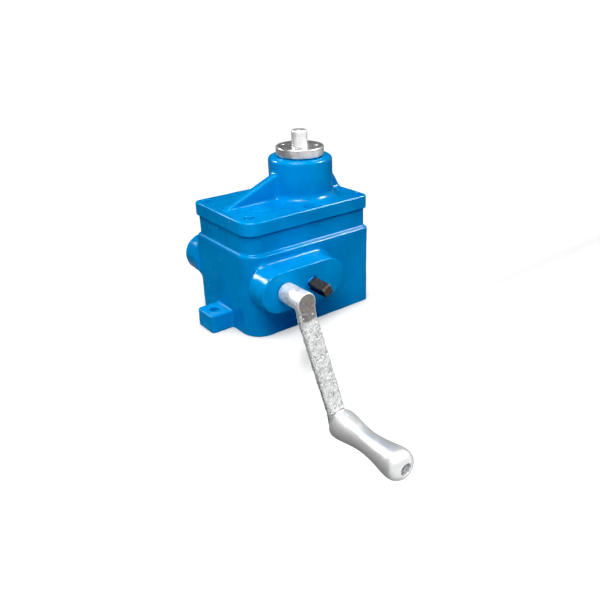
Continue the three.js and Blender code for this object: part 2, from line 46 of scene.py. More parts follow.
RAM_X, RAM_Y, BOSS_R, BOSS_Z, RIB_W = 28.5, 0.0, 37.5, 181.8, 11.0
SHAFT_Z, WORM_X, INPUT_X = 61.5, -21.5, -57.5
CAP_XA, CAP_XB, CAP_R, CAP_Y0, CAP_Y1 = -64.0, 0.0, 23.6, -84.3, 83.6
SQUARE, SQUARE_TURN, SQUARE_END = 12.0, 26.0, -113.0
SCREW_PITCH, SCREW_R, SCREW_ROOT, SHANK_R = 10.0, 17.0, 13.6, 17.5
DISC_R, DISC_Z0, DISC_Z1, PIN_R, PIN_Z = 28.0, 182.3, 193.2, 9.3, 211.0
LUG_X, LUG_Y, LUG_W, LUG_Z, LUG_HOLE_R, LUG_HOLE_X = 113.0, 3.0, 33.0, 21.5, 5.1, 99.5
CRANK_TILT, CRANK_R, HUB_R, HUB_Y0, ARM_Y, ARM_T, ARM_W = 8.5, 148.0, 11.5, -85.7, -121.5, 8.5, 22.0
EYE_Y, GRIP_Y = -146.5, -147.0
SCREWS = {"front_left": (-68, -38), "front_middle": (4, -47), "front_right": (75, -47),
          "rear_right": (75, 47), "rear_middle": (4, 47), "rear_left": (-74, 47)}
CAP_PAD = (-39.5, -19.2)
TILT = math.radians(CRANK_TILT)
GRIP_X = INPUT_X + CRANK_R * math.sin(TILT)
GRIP_Z = SHAFT_Z - CRANK_R * math.cos(TILT)

# ------------------------------------------------------------------ distance fields
F = np.float32


def length2(a, b):
    return np.sqrt(a * a + b * b)


def join(a, b, r):
    """Union with a round fillet of radius r in the corner between a and b."""
    return np.maximum(r, np.minimum(a, b)) - length2(np.maximum(r - a, 0), np.maximum(r - b, 0))


def both(a, b, r=0.0):
    """Intersection with its edge rounded to radius r."""
    if r <= 0:
        return np.maximum(a, b)
    return np.minimum(-r, np.maximum(a, b)) + length2(np.maximum(r + a, 0), np.maximum(r + b, 0))


def cut(a, b, r=0.0):
    return both(a, -b, r)


def plan2(x, y, hx, hy, r):
    """Rectangle of half sizes hx, hy; corner radii r = front left, front right, back right, back left."""
    fl, fr, br, bl = r
    rr = np.where(x < 0, np.where(y < 0, F(fl), F(bl)), np.where(y < 0, F(fr), F(br)))
    qx, qy = np.abs(x) - hx + rr, np.abs(y) - hy + rr
    return np.minimum(np.maximum(qx, qy), 0) + length2(np.maximum(qx, 0), np.maximum(qy, 0)) - rr


def capsule2(x, z, xa, xb, zc, r):
    return length2(x - np.clip(x, xa, xb), z - zc) - r


def poly2(x, y, pts):
    """Signed distance to a closed polygon."""
    pts = [np.array(p, float) for p in pts]
    n = len(pts)
    d = (x - pts[0][0]) ** 2 + (y - pts[0][1]) ** 2
    s = np.ones(np.broadcast(x, y).shape, F)
    for i in range(n):
        a, b = pts[i], pts[i - 1]
        ex, ey = b[0] - a[0], b[1] - a[1]
        wx, wy = x - a[0], y - a[1]
        t = np.clip((wx * ex + wy * ey) / (ex * ex + ey * ey), 0, 1)
        d = np.minimum(d, (wx - ex * t) ** 2 + (wy - ey * t) ** 2)
        c1, c2, c3 = y >= a[1], y < b[1], ex * wy > ey * wx
        flip = (c1 & c2 & c3) | (~c1 & ~c2 & ~c3)
        s = np.where(flip, -s, s)
    return s * np.sqrt(d)


def slab(v, lo, hi):
    return np.maximum(lo - v, v - hi)


def waves(seed, size, n=10):
    """A smooth random ripple between about -1 and 1, with features of about `size` mm."""
    rng = np.random.default_rng(seed)
    k = rng.normal(size=(n, 3))
    k = k / np.linalg.norm(k, axis=1)[:, None] * (2 * math.pi / size) * rng.uniform(0.6, 1.5, n)[:, None]
    ph = rng.uniform(0, 2 * math.pi, n)

    def f(x, y, z):
        t = 0
        for i in range(n):
            t = t + np.sin(F(k[i, 0]) * x + F(k[i, 1]) * y + F(k[i, 2]) * z + F(ph[i]))
        return t * F(1.4 / n ** 0.5 / 1.6)
    return f


def field_mesh(name, fn, lo, hi, h, place=None, steps=3):
    """Meshes the zero surface of fn (millimetres) by surface nets on a grid of h, with its points brought onto the surface."""
    lo, hi = np.array(lo, float), np.array(hi, float)
    n = np.ceil((hi - lo) / h).astype(int) + 1
    ax = [(lo[i] + h * np.arange(n[i])).astype(F) for i in range(3)]
    # coarse pass marks the blocks that hold surface
    B = 6
    nb = -(-(n - 1) // B)
    cx = [(lo[i] + h * B * (np.arange(nb[i]) + 0.5)).astype(F) for i in range(3)]
    C = fn(cx[0][:, None, None], cx[1][None, :, None], cx[2][None, None, :])
    near = np.abs(C) < h * B * 0.5 * 1.9 + 2.0
    D = np.repeat(np.repeat(np.repeat(np.where(C < 0, F(-9), F(9)), B, 0), B, 1), B, 2)
    D = np.pad(D, ((0, 1), (0, 1), (0, 1)), mode="edge")[: n[0], : n[1], : n[2]].astype(F)
    need = np.zeros(n, bool)
    for i, j, k in np.argwhere(near):
        need[i * B:(i + 1) * B + 1, j * B:(j + 1) * B + 1, k * B:(k + 1) * B + 1] = True
    I, J, K = np.nonzero(need)
    for s in range(0, len(I), 400000):
        a, b, c = I[s:s + 400000], J[s:s + 400000], K[s:s + 400000]
        D[a, b, c] = fn(ax[0][a], ax[1][b], ax[2][c])
    S = D < 0
    cnt = sum(S[i:S.shape[0] - 1 + i, j:S.shape[1] - 1 + j, k:S.shape[2] - 1 + k].astype(np.int8)
              for i in (0, 1) for j in (0, 1) for k in (0, 1))
    act = (cnt > 0) & (cnt < 8)
    idx = np.full(act.shape, -1, np.int32)
    N = int(act.sum())
    idx[act] = np.arange(N)
    I, J, K = np.nonzero(act)
    P, W = np.zeros((N, 3)), np.zeros(N)
    corners = [(i, j, k) for i in (0, 1) for j in (0, 1) for k in (0, 1)]
    for a in corners:
        for axis in range(3):
            if a[axis]:
                continue
            b = list(a); b[axis] = 1
            da, db = D[I + a[0], J + a[1], K + a[2]], D[I + b[0], J + b[1], K + b[2]]
            m = (da < 0) != (db < 0)
            t = da[m] / (da[m] - db[m])
            q = np.tile(np.array(a, float), (len(t), 1)); q[:, axis] = t
            P[m] += q; W[m] += 1
    P = lo + h * (P / W[:, None] + np.stack([I, J, K], 1))
    quads = []
    for axis in range(3):
        u, v = (axis + 1) % 3, (axis + 2) % 3
        s0 = [slice(None)] * 3; s1 = [slice(None)] * 3
        s0[axis], s1[axis] = slice(0, -1), slice(1, None)
        E = S[tuple(s0)] != S[tuple(s1)]
        e = np.argwhere(E)
        ok = (e[:, u] > 0) & (e[:, v] > 0) & (e[:, u] < n[u] - 1) & (e[:, v] < n[v] - 1)
        e = e[ok]
        inside = S[tuple(e.T)]
        def cell(du, dv):
            c = e.copy(); c[:, u] += du; c[:, v] += dv
            return idx[tuple(c.T)]
        q = np.stack([cell(-1, -1), cell(0, -1), cell(0, 0), cell(-1, 0)], 1)
        q[~inside] = q[~inside][:, ::-1]
        quads.append(q)
    Q = np.concatenate(quads)
    Q = Q[(Q >= 0).all(1)]

    def grad(P, e=0.06):
        G = np.zeros_like(P)
        for i in range(3):
            d = np.zeros(3); d[i] = e
            a, b = P + d, P - d
            G[:, i] = (fn(a[:, 0], a[:, 1], a[:, 2]) - fn(b[:, 0], b[:, 1], b[:, 2])) / (2 * e)
        return G
    for _ in range(steps):
        d = fn(P[:, 0], P[:, 1], P[:, 2])
        G = grad(P)
        g2 = np.maximum((G * G).sum(1), 0.25)
        P = P - (np.clip(d, -0.5 * h, 0.5 * h) / g2)[:, None] * G
    G = grad(P)
    G /= np.maximum(np.linalg.norm(G, axis=1), 1e-6)[:, None]
    V = P * 0.001
    if place is not None:
        M = np.array(place)
        V = V @ M[:3, :3].T + M[:3, 3]
        G = G @ M[:3, :3].T
    me = bpy.data.meshes.new(name)
    me.vertices.add(len(V)); me.vertices.foreach_set("co", V.astype(F).ravel())
    me.loops.add(Q.size); me.loops.foreach_set("vertex_index", Q.astype(np.int32).ravel())
    me.polygons.add(len(Q))
    me.polygons.foreach_set("loop_start", np.arange(0, Q.size, 4, dtype=np.int32))
    me.polygons.foreach_set("loop_total", np.full(len(Q), 4, np.int32))
    me.update(calc_edges=True)
    me.validate()
    me.polygons.foreach_set("use_smooth", np.ones(len(me.polygons), bool))
    vn = np.zeros(len(me.vertices) * 3, F)
    me.vertex_normals.foreach_get("vector", vn)
    vn = vn.reshape(-1, 3)
    if len(vn) == len(G):
        good = (vn * G).sum(1) > 0.86
        nn = np.where(good[:, None], G, vn)
        me.normals_split_custom_set_from_vertices(nn.tolist())
    ob = bpy.data.objects.new(name, me)
    bpy.context.scene.collection.objects.link(ob)
    return ob


# ------------------------------------------------------------------ ordinary mesh helpers
def link(name, me):
    ob = bpy.data.objects.new(name, me)
    bpy.context.scene.collection.objects.link(ob)
    return ob


def smooth_by_angle(ob, deg=35):
    me = ob.data
    bm = bmesh.new(); bm.from_mesh(me)
    for f in bm.faces:
        f.smooth = True
    for e in bm.edges:
        if len(e.link_faces) == 2:
            e.smooth = e.calc_face_angle(0) < math.radians(deg)
    bm.to_mesh(me); bm.free()
    return ob


def round_profile(pts, r, n=4):
    """Profile with each inner corner rounded to r (a number or one per corner)."""
    out = [Vector(pts[0])]
    for i in range(1, len(pts) - 1):
        a, b, c = Vector(pts[i - 1]), Vector(pts[i]), Vector(pts[i + 1])
        rr = r[i] if hasattr(r, "__len__") else r
        u, v = (a - b), (c - b)
        t = min(rr, 0.45 * u.length, 0.45 * v.length)
        if t < 1e-4 or abs(u.normalized().dot(v.normalized()) + 1) < 1e-4:
            out.append(b); continue
        p, q = b + u.normalized() * t, b + v.normalized() * t
        for k in range(n + 1):
            s = k / n
            out.append(p * (1 - s) ** 2 + b * 2 * s * (1 - s) + q * s * s)
    out.append(Vector(pts[-1]))
    return [(p[0], p[1]) for p in out]


def lathe(name, prof, centre, axis="Z", n=96, closed=False, deg=32):
    """Turned body. prof is [radius, along] in mm; axis Z or Y through centre (the two other coordinates, mm)."""
    bm = bmesh.new()
    rings = []
    for r, a in prof:
        if r < 1e-6:
            p = (centre[0], centre[1], a) if axis == "Z" else (centre[0], a, centre[1])
            rings.append([bm.verts.new([c * 0.001 for c in p])])
        else:
            ring = []
            for i in range(n):
                t = 2 * math.pi * i / n
                c, s = r * math.cos(t), r * math.sin(t)
                p = (centre[0] + c, centre[1] + s, a) if axis == "Z" else (centre[0] + c, a, centre[1] + s)
                ring.append(bm.verts.new([q * 0.001 for q in p]))
            rings.append(ring)
    pairs = list(zip(rings[:-1], rings[1:]))
    if closed:
        pairs.append((rings[-1], rings[0]))
    for A, B in pairs:
        for i in range(n):
            j = (i + 1) % n
            if len(A) == 1 and len(B) == 1:
                continue
            if len(A) == 1:
                bm.faces.new((A[0], B[i], B[j]))
            elif len(B) == 1:
                bm.faces.new((A[i], B[0], A[j]))
            else:
                bm.faces.new((A[i], B[i], B[j], A[j]))
    bmesh.ops.recalc_face_normals(bm, faces=bm.faces)
    me = bpy.data.meshes.new(name)
    bm.to_mesh(me); bm.free()
    return smooth_by_angle(link(name, me), deg)


def boolean(ob, tools, op="DIFFERENCE"):
    for t in tools:
        m = ob.modifiers.new("b", "BOOLEAN")
        m.operation, m.object, m.solver = op, t, "EXACT"
        dg = bpy.context.evaluated_depsgraph_get()
        me = bpy.data.meshes.new_from_object(ob.evaluated_get(dg))
        ob.modifiers.clear()
        old = ob.data
        ob.data = me
        me.name = old.name
        bpy.data.meshes.remove(old)
    for t in tools:
        me = t.data
        bpy.data.objects.remove(t)
        bpy.data.meshes.remove(me)
    return smooth_by_angle(ob, 32)


def box_tool(lo, hi, turn=0.0, about=(0, 0)):
    bm = bmesh.new()
    bmesh.ops.create_cube(bm, size=1)
    s = [(hi[i] - lo[i]) * 0.001 for i in range(3)]
    c = [(hi[i] + lo[i]) * 0.0005 for i in range(3)]
    bmesh.ops.scale(bm, vec=s, verts=bm.verts)
    bmesh.ops.translate(bm, vec=c, verts=bm.verts)
    me = bpy.data.meshes.new("tool"); bm.to_mesh(me); bm.free()
    return link("tool", me)


def drill(x, y, z, r, depth, n=40):
    """Vertical blind hole tool with a drill point, open upwards from z."""
    return lathe("tool", [(0, z - depth - 0.5 * r), (r, z - depth), (r, z + 1), (0, z + 1)], (x, y), "Z", n)


# ------------------------------------------------------------------ materials
def new_mat(name, rough, metal, base, **kw):
    m = bpy.data.materials.new(name)
    m.use_nodes = True
    nt = m.node_tree
    bsdf = nt.nodes["Principled BSDF"]
    bsdf.inputs["Base Color"].default_value = (*base, 1)
    bsdf.inputs["Roughness"].default_value = rough
    bsdf.inputs["Metallic"].default_value = metal
    for k, v in kw.items():
        bsdf.inputs[k.replace("_", " ")].default_value = v
    return m, nt, bsdf


class Net:
    """Small node-building helper; all coordinates in millimetres of the object's own frame."""
    def __init__(self, nt):
        self.nt = nt
        tc = self.n("ShaderNodeTexCoord")
        mp = self.n("ShaderNodeMapping")
        mp.inputs["Scale"].default_value = (1000, 1000, 1000)
        self.l(tc.outputs["Object"], mp.inputs["Vector"])
        self.mm = mp.outputs["Vector"]

    def n(self, kind, **kw):
        node = self.nt.nodes.new(kind)
        for k, v in kw.items():
            setattr(node, k, v)
        return node

    def l(self, a, b):
        self.nt.links.new(a, b)

    def noise(self, scale, detail=3, rough=0.5, vec=None, distort=0.0, stretch=None, lac=2.0):
        v = vec if vec is not None else self.mm
        if stretch:
            m = self.n("ShaderNodeMapping"); m.inputs["Scale"].default_value = stretch
            self.l(v, m.inputs["Vector"]); v = m.outputs["Vector"]
        t = self.n("ShaderNodeTexNoise")
        t.inputs["Scale"].default_value = scale
        t.inputs["Detail"].default_value = detail
        t.inputs["Roughness"].default_value = rough
        t.inputs["Lacunarity"].default_value = lac
        t.inputs["Distortion"].default_value = distort
        self.l(v, t.inputs["Vector"])
        return t.outputs["Fac"]

    def voronoi(self, scale, feature="F1", vec=None, rand=1.0):
        t = self.n("ShaderNodeTexVoronoi", feature=feature)
        t.inputs["Scale"].default_value = scale
        t.inputs["Randomness"].default_value = rand
        self.l(vec if vec is not None else self.mm, t.inputs["Vector"])
        return t.outputs["Distance"]

    def ramp(self, fac, stops, interp="LINEAR"):
        r = self.n("ShaderNodeValToRGB")
        e = r.color_ramp
        e.interpolation = interp
        while len(e.elements) < len(stops):
            e.elements.new(0.5)
        for el, (p, c) in zip(e.elements, stops):
            el.position = p
            el.color = (*c, 1) if hasattr(c, "__len__") else (c, c, c, 1)
        self.l(fac, r.inputs["Fac"])
        return r.outputs["Color"]

    def map(self, fac, a, b, c, d, clamp=True):
        m = self.n("ShaderNodeMapRange"); m.clamp = clamp
        for k, v in zip(("From Min", "From Max", "To Min", "To Max"), (a, b, c, d)):
            m.inputs[k].default_value = v
        self.l(fac, m.inputs["Value"])
        return m.outputs["Result"]

    def mix(self, fac, a, b, blend="MIX"):
        m = self.n("ShaderNodeMix", data_type="RGBA", blend_type=blend)
        for sock, v in (("Factor", fac), ("A", a), ("B", b)):
            s = [i for i in m.inputs if i.name == sock and (i.type == ("VALUE" if sock == "Factor" else "RGBA"))][0]
            if isinstance(v, (int, float)):
                s.default_value = v if sock == "Factor" else (v, v, v, 1)
            elif isinstance(v, tuple):
                s.default_value = (*v, 1)
            else:
                self.l(v, s)
        return [o for o in m.outputs if o.type == "RGBA"][0]

    def math(self, op, a, b=0.0, c=None):
        m = self.n("ShaderNodeMath", operation=op)
        for i, v in enumerate((a, b) if c is None else (a, b, c)):
            if isinstance(v, (int, float)):
                m.inputs[i].default_value = v
            else:
                self.l(v, m.inputs[i])
        return m.outputs[0]

    def bump(self, height, strength, distance, normal=None):
        b = self.n("ShaderNodeBump")
        b.inputs["Strength"].default_value = strength
        b.inputs["Distance"].default_value = distance
        self.l(height, b.inputs["Height"])
        if normal is not None:
            self.l(normal, b.inputs["Normal"])
        return b.outputs["Normal"]

    def edge(self, lo=0.52, hi=0.62):
        g = self.n("ShaderNodeNewGeometry")
        return self.map(g.outputs["Pointiness"], lo, hi, 0, 1)

    def radial(self, cx, cy, axis="Z"):
        """(distance from the axis line, along, 0) in mm, for turned surfaces."""
        sep = self.n("ShaderNodeSeparateXYZ"); self.l(self.mm, sep.inputs[0])
        u, v, w = ("X", "Y", "Z") if axis == "Z" else ("X", "Z", "Y")
        dx = self.math("SUBTRACT", sep.outputs[u], cx)
        dy = self.math("SUBTRACT", sep.outputs[v], cy)
        r = self.math("SQRT", self.math("ADD", self.math("MULTIPLY", dx, dx), self.math("MULTIPLY", dy, dy)))
        ang = self.math("ARCTAN2", dy, dx)
        comb = self.n("ShaderNodeCombineXYZ")
        self.l(r, comb.inputs[0]); self.l(sep.outputs[w], comb.inputs[1])
        self.l(self.math("MULTIPLY", ang, 0.35), comb.inputs[2])
        return comb.outputs[0]


def paint(name, base=(0.0, 0.285, 0.70), cast=1.0):
    """Gloss enamel brushed over a sand casting: orange peel, slight unevenness, a painted highlight of lighter blue
    along the edges, dust in the pores.
    """
    m, nt, b = new_mat(name, 0.22, 0.0, base, Specular_IOR_Level=0.2)
    k = Net(nt)
    big = k.noise(0.02, 3, 0.55)
    mid = k.noise(0.12, 4, 0.6)
    fine = k.noise(0.9, 3, 0.6)
    dark = tuple(c * 0.84 for c in base)
    light = (base[0] + 0.004, min(1, base[1] * 1.1), min(1, base[2] * 1.06))
    col = k.mix(k.map(big, 0.35, 0.65, 0, 1), dark, light)
    col = k.mix(k.map(mid, 0.45, 0.75, 0, 0.25), col, tuple(c * 0.92 for c in base))
    # painted highlight: lighter, more saturated blue along sharp convex edges, broken up by fine noise
    edge = k.math("MULTIPLY", k.edge(0.535, 0.62), k.map(fine, 0.35, 0.6, 0.35, 1.0))
    col = k.mix(k.math("MULTIPLY", edge, 0.12), col, (0.0, min(1, base[1] * 1.5), min(1, base[2] * 1.22)))
    speck = k.map(k.voronoi(0.33), 0.0, 0.05, 1, 0)
    speck = k.math("MULTIPLY", speck, k.map(mid, 0.52, 0.62, 0, 0.5))
    col = k.mix(speck, col, tuple(c * 0.55 for c in base))
    k.l(col, b.inputs["Base Color"])
    rough = k.math("ADD", k.map(mid, 0.3, 0.75, 0.17, 0.29), k.map(fine, 0.3, 0.8, -0.02, 0.05))
    k.l(rough, b.inputs["Roughness"])
    n1 = k.bump(big, 0.4 * cast, 0.0009)
    n2 = k.bump(mid, 0.3 * cast, 0.0005, n1)
    n3 = k.bump(fine, 0.22, 0.00025, n2)
    n4 = k.bump(k.math("MULTIPLY", speck, -1.0), 0.08, 0.0001, n3)
    k.l(n4, b.inputs["Normal"])
    return m


def turned_steel(name, centre, axis, base=(0.72, 0.725, 0.73), r0=0.2, r1=0.38, depth=0.00006, stain=0.25, metal=1.0, reflection_streak=0.0):
    """Bright steel with fine turning marks running round the axis, handling marks and a few faint stains; optionally
    painted reflection streaks along the axis.
    """
    m, nt, b = new_mat(name, 0.28, metal, base)
    k = Net(nt)
    v = k.radial(centre[0], centre[1], axis)
    rings = k.noise(1.0, 4, 0.65, vec=v, stretch=(3.2, 3.2, 0.25))
    coarse = k.noise(1.0, 2, 0.5, vec=v, stretch=(0.5, 0.5, 0.9))
    mark = k.noise(0.22, 5, 0.7, distort=0.6)
    col = k.mix(k.map(rings, 0.3, 0.7, 0, 0.6), tuple(c * 0.86 for c in base), tuple(min(1, c * 1.12) for c in base))
    col = k.mix(k.map(mark, 0.5, 0.72, 0, stain), col, tuple(c * 0.45 for c in base))
    # painted reflection: dark streaks along the axis stand in for reflections stretched along the turned surface
    if reflection_streak:
        lines = k.noise(1.0, 4, 0.7, vec=v, stretch=(0.05, 0.05, 9.0))
        col = k.mix(k.map(lines, 0.42, 0.68, 0, reflection_streak), col, (base[0] * 0.42, base[1] * 0.38, base[2] * 0.35))
    col = k.mix(k.math("MULTIPLY", k.edge(0.51, 0.6), 0.5), col, tuple(min(1, c * 1.2) for c in base))
    k.l(col, b.inputs["Base Color"])
    rough = k.math("ADD", k.map(coarse, 0.3, 0.7, r0, r1), k.map(mark, 0.45, 0.75, 0, 0.12))
    k.l(rough, b.inputs["Roughness"])
    n1 = k.bump(rings, 0.6, depth)
    k.l(k.bump(mark, 0.15, 0.0001, n1), b.inputs["Normal"])
    return m


def steel(name, base, r0, r1, stain=0.3, scale=0.25):
    m, nt, b = new_mat(name, (r0 + r1) / 2, 1.0, base)
    k = Net(nt)
    a = k.noise(scale, 5, 0.65, distort=0.4)
    f = k.noise(2.2, 3, 0.6)
    col = k.mix(k.map(a, 0.35, 0.7, 0, 1), tuple(min(1, c * 1.08) for c in base), tuple(c * (1 - stain) for c in base))
    col = k.mix(k.math("MULTIPLY", k.edge(0.51, 0.6), 0.45), col, tuple(min(1, c * 1.35 + 0.03) for c in base))
    k.l(col, b.inputs["Base Color"])
    k.l(k.map(a, 0.3, 0.75, r0, r1), b.inputs["Roughness"])
    k.l(k.bump(f, 0.2, 0.00008), b.inputs["Normal"])
    return m


def black_shaft(name):
    """Blackened drive square: grey-brown oxide, worn bright along its edges, milling lines along it; the journal's end is painted over."""
    m, nt, b = new_mat(name, 0.5, 0.3, (0.1, 0.09, 0.085), Specular_IOR_Level=0.2)
    k = Net(nt)
    a = k.noise(0.3, 4, 0.6)
    s = k.noise(1.0, 3, 0.6, stretch=(3.0, 0.35, 3.0))
    col = k.mix(k.map(a, 0.35, 0.7, 0, 1), (0.062, 0.056, 0.05), (0.1, 0.089, 0.082))
    e = k.math("MULTIPLY", k.edge(0.52, 0.6), k.map(a, 0.3, 0.6, 0.5, 0.9))
    col = k.mix(e, col, (0.5, 0.48, 0.46))
    sep = k.n("ShaderNodeSeparateXYZ"); k.l(k.mm, sep.inputs[0])
    over = k.math("MULTIPLY", k.map(sep.outputs["Y"], -85.5, -85.2, 0, 1), k.map(sep.outputs["Y"], -83.5, -82.5, 1, 0))
    col = k.mix(over, col, (0.0, 0.24, 0.66))
    k.l(col, b.inputs["Base Color"])
    k.l(k.math("MULTIPLY", k.math("SUBTRACT", 1.0, over), 0.35), b.inputs["Metallic"])
    k.l(k.math("ADD", k.map(a, 0.3, 0.7, 0.34, 0.46), k.map(s, 0.3, 0.7, -0.04, 0.06)), b.inputs["Roughness"])
    k.l(k.bump(s, 0.35, 0.0001), b.inputs["Normal"])
    return m


def cast_crank(name):
    """Rough grey casting under a bright flaky zinc skin; bright hub with long streaks along it, painted reflection
    streaks in the colour with a faint bump; face over the hub darkened as painted shade.
    """
    m, nt, b = new_mat(name, 0.45, 0.62, (0.6, 0.6, 0.6))
    k = Net(nt)
    big = k.noise(0.07, 4, 0.6, distort=0.5)
    mid = k.noise(0.26, 7, 0.72, distort=1.4)
    fine = k.noise(1.9, 3, 0.65)
    pits = k.voronoi(0.5)
    skin = k.ramp(mid, [(0.34, (0.14, 0.14, 0.14)), (0.44, (0.4, 0.4, 0.4)), (0.52, (0.74, 0.75, 0.755)), (0.66, (0.93, 0.94, 0.945))])
    skin = k.mix(k.map(big, 0.47, 0.62, 0, 0.45), skin, (0.8, 0.8, 0.8))
    skin = k.mix(k.map(pits, 0.0, 0.28, 0.45, 0), skin, (0.25, 0.245, 0.24))
    # turned hub: streaks that run along it, painted reflection streaks in the colour with a faint bump
    v = k.radial(INPUT_X, SHAFT_Z, "Y")
    rs = k.n("ShaderNodeSeparateXYZ"); k.l(v, rs.inputs[0])
    lines = k.noise(1.0, 5, 0.7, vec=v, stretch=(0.1, 0.09, 5.0))
    hubcol = k.mix(k.map(lines, 0.4, 0.66, 0, 0.75), (0.93, 0.93, 0.93), (0.4, 0.395, 0.39))
    near = k.map(rs.outputs[0], 12.6, 13.4, 1, 0)
    behind = k.map(rs.outputs[1], -119.5, -118.5, 0, 1)
    col = k.mix(k.math("MULTIPLY", near, behind), skin, hubcol)
    # flat face over the hub, which faces the front: painted shade darkens it
    geo = k.n("ShaderNodeNewGeometry")
    gs = k.n("ShaderNodeSeparateXYZ"); k.l(geo.outputs["Normal"], gs.inputs[0])
    painted_shade_mask = k.map(gs.outputs["Y"], -0.93, -0.985, 0, 1)
    wob = k.math("ADD", rs.outputs[0], k.math("MULTIPLY", mid, 3.0))
    painted_shade_mask = k.math("MULTIPLY", k.math("MULTIPLY", painted_shade_mask, k.map(rs.outputs[1], -120.9, -120.4, 1, 0)), k.map(wob, 22.0, 25.5, 1, 0))
    # painted shade: dark greys chosen for the front-facing face instead of a real change of material
    painted_shade_col = k.mix(k.map(mid, 0.4, 0.62, 0, 1), (0.34, 0.325, 0.315), (0.15, 0.14, 0.135))
    col = k.mix(painted_shade_mask, col, painted_shade_col)
    col = k.mix(k.math("MULTIPLY", k.edge(0.508, 0.56), 0.75), col, (0.97, 0.97, 0.97))
    k.l(col, b.inputs["Base Color"])
    k.l(k.math("ADD", k.map(mid, 0.3, 0.7, 0.52, 0.32), k.map(fine, 0.3, 0.7, -0.06, 0.1)), b.inputs["Roughness"])
    n1 = k.bump(mid, 0.7, 0.0006)
    n2 = k.bump(fine, 0.4, 0.00025, n1)
    k.l(k.bump(lines, 0.12, 0.0002, n2), b.inputs["Normal"])
    return m


def bronze(name):
    m, nt, b = new_mat(name, 0.34, 1.0, (0.62, 0.4, 0.17))
    k = Net(nt)
    a = k.noise(0.2, 4, 0.6)
    f = k.noise(1.6, 3, 0.6)
    col = k.mix(k.map(a, 0.35, 0.7, 0, 1), (0.68, 0.46, 0.2), (0.46, 0.28, 0.12))
    k.l(col, b.inputs["Base Color"])
    k.l(k.map(f, 0.3, 0.7, 0.25, 0.42), b.inputs["Roughness"])
    k.l(k.bump(f, 0.2, 0.0001), b.inputs["Normal"])
    return m


def dull(name, base, rough):
    m, nt, b = new_mat(name, rough, 0.0, base)
    k = Net(nt)
    a = k.noise(0.5, 4, 0.6)
    k.l(k.mix(k.map(a, 0.3, 0.7, 0, 1), tuple(c * 0.7 for c in base), tuple(c * 1.4 + 0.004 for c in base)), b.inputs["Base Color"])
    k.l(k.bump(a, 0.3, 0.0002), b.inputs["Normal"])
    return m


PAINT = paint("blue_enamel")
PAINT2 = paint("blue_enamel_small", cast=0.5)
DISC = turned_steel("turned_disc", (RAM_X, RAM_Y), "Z", base=(0.66, 0.665, 0.67), metal=0.85, reflection_streak=0.6)
PIN = turned_steel("turned_pin", (RAM_X, RAM_Y), "Z", base=(0.93, 0.93, 0.935), r0=0.26, r1=0.36, metal=0.75, stain=0.12, reflection_streak=0.3)
GRIP = turned_steel("polished_grip", (GRIP_X, GRIP_Z), "Y", base=(0.88, 0.885, 0.89), r0=0.3, r1=0.38, depth=0.00002, stain=0.06, metal=0.72)
END = turned_steel("end_screw_steel", (GRIP_X, GRIP_Z), "Y", base=(0.75, 0.75, 0.75), r0=0.14, r1=0.24)
BLACK = black_shaft("blackened_steel")
CRANK = cast_crank("cast_crank")
GEARS = steel("oiled_gear_steel", (0.42, 0.43, 0.45), 0.24, 0.42)
BRONZE = bronze("machined_bronze")
GASKET = dull("gasket_board", (0.02, 0.02, 0.022), 0.9)
SEAL = dull("seal_rubber", (0.012, 0.012, 0.012), 0.7)


def dress(ob, mat, body, slot, *nodes):
    ob.data.materials.clear()
    ob.data.materials.append(mat)
    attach(ob, body)
    if nodes:
        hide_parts(*nodes)
    return ob


def dress_cad(mat, *nodes):
    for n in nodes:
        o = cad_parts[n]
        o.data.materials.clear()
        o.data.materials.append(mat)


# ------------------------------------------------------------------ housing
cast_big, cast_small = waves(3, 46), waves(8, 15, 12)


